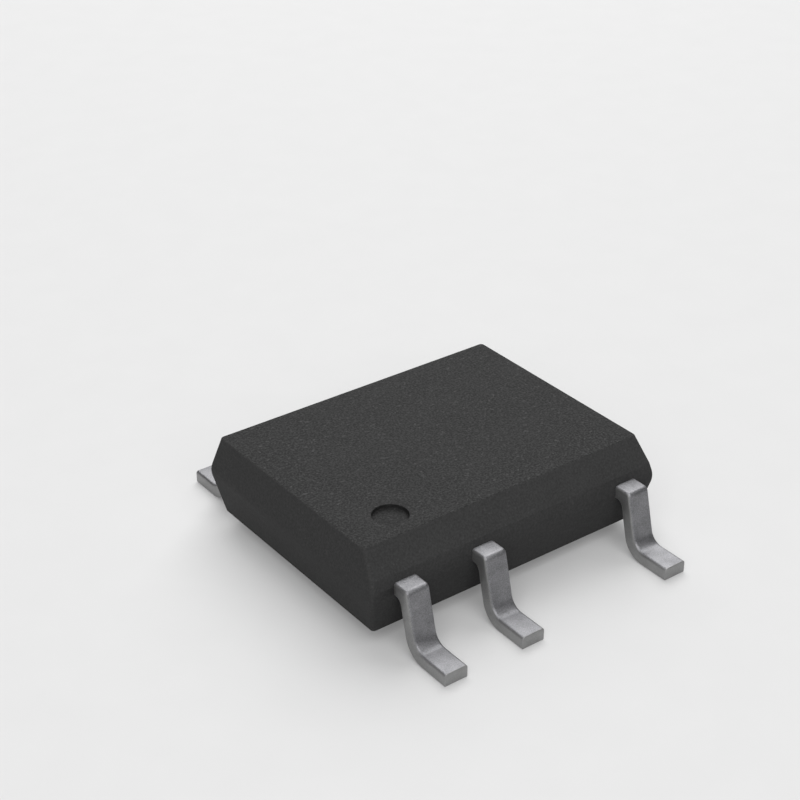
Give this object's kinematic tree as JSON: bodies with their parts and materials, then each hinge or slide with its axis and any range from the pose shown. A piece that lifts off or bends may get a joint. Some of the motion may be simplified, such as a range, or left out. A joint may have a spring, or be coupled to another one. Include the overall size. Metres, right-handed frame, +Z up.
{
  "type": "small-outline integrated circuit",
  "caption": "Small-outline chip: a drafted, bevelled black moulding with a round pin-1 recess on gull-wing leads, one lead position left empty.",
  "frame": {"origin": "on the seating plane, under the middle of the body", "axes": "+X along the body's length, away from pin 1; -Y towards the pin-1 side; +Z up"},
  "size_m": [0.005, 0.006, 0.0014],
  "materials": {
    "moulding": "matte",
    "tinned_lead": "satin",
    "silver_adhesive": "matte",
    "silicon": "polished",
    "bond_wire": "drawn"
  },
  "bodies": {
    "root": {"mould_body": "moulding", "lead_1": "tinned_lead", "lead_2": "tinned_lead", "lead_4": "tinned_lead", "pad_lead_frame": "tinned_lead", "die_attach": "silver_adhesive", "die": "silicon", "wire_to_lead_1": "bond_wire", "wire_to_lead_2": "bond_wire", "wire_to_lead_4": "bond_wire", "wire_to_pad": "bond_wire"}
  },
  "joints": []
}
